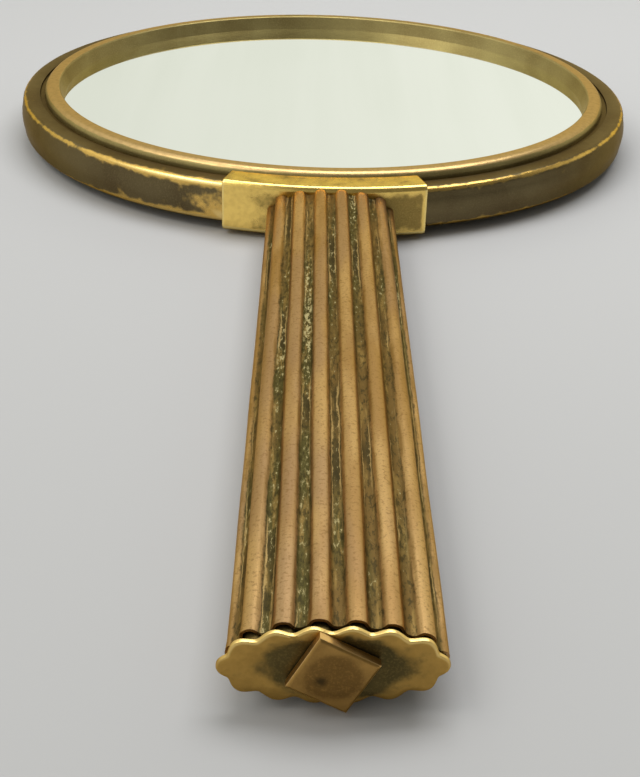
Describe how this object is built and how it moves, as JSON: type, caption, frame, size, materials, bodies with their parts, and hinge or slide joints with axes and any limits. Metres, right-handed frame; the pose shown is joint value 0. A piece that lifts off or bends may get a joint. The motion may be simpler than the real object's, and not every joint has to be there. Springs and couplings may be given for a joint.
{
  "type": "hand mirror",
  "caption": "Round brass hand mirror in a beaded frame ring, on a flat fluted handle closed by a scalloped cap and a square-headed tie bolt.",
  "frame": {"origin": "centre of the flat face of the back plate, which the mirror rests on", "axes": "+Z out of the glass; the handle runs out along -Y; +X to the right seen from the handle's end with the glass up"},
  "size_m": [0.1308, 0.2559, 0.011],
  "materials": {
    "patinated_band": "dark olive-brown patina, worn gold along the edges",
    "worn_bezel": "brown patina, tan and gold where the bead is worn",
    "polished_brass": "bright polish with thin smudges",
    "fluted_brass": "satin tan ribs, dark green-brown flutes with verdigris flecks",
    "cap_brass": "bright worn lobes round a dark oval",
    "bronzed_brass": "satin bronze, worn edges",
    "back_brass": "satin brown-gold patina",
    "plain_brass": "plain, dull",
    "silvered_glass": "silvered, slightly tinted",
    "grey_card": "pressed grey card"
  },
  "bodies": {
    "mirror": {"frame_band": "patinated_band", "inner_ring": "plain_brass", "front_bezel": "worn_bezel", "rear_bezel": "worn_bezel", "mirror_glass": "silvered_glass", "glass_packing": "grey_card", "backing_card": "grey_card", "backing_board": "grey_card", "back_plate": "back_brass", "anchor_block": "plain_brass", "saddle": "polished_brass", "tube_collar": "plain_brass", "handle_tube": "fluted_brass", "seam_strip": "plain_brass"},
    "end_cap": {"cap_plate": "cap_brass", "cap_sleeve": "cap_brass"},
    "tie_bolt": {"tie_rod": "plain_brass", "square_head": "bronzed_brass"}
  },
  "joints": [
    {"name": "end_cap_slide", "type": "slide", "parent": "mirror", "child": "end_cap", "axis": [0, -1, 0], "range_m": [-0.00111, 0.00222]},
    {"name": "tie_bolt_turn", "type": "hinge", "parent": "end_cap", "child": "tie_bolt", "pos_m": [0.0006, -0.18935, 0.0052], "axis": [0, -1, 0], "range_deg": [-630, 1260]}
  ],
  "couplings": [
    {"joint": "tie_bolt_turn", "follows": "end_cap_slide", "rad_per_m": 9894.8}
  ]
}
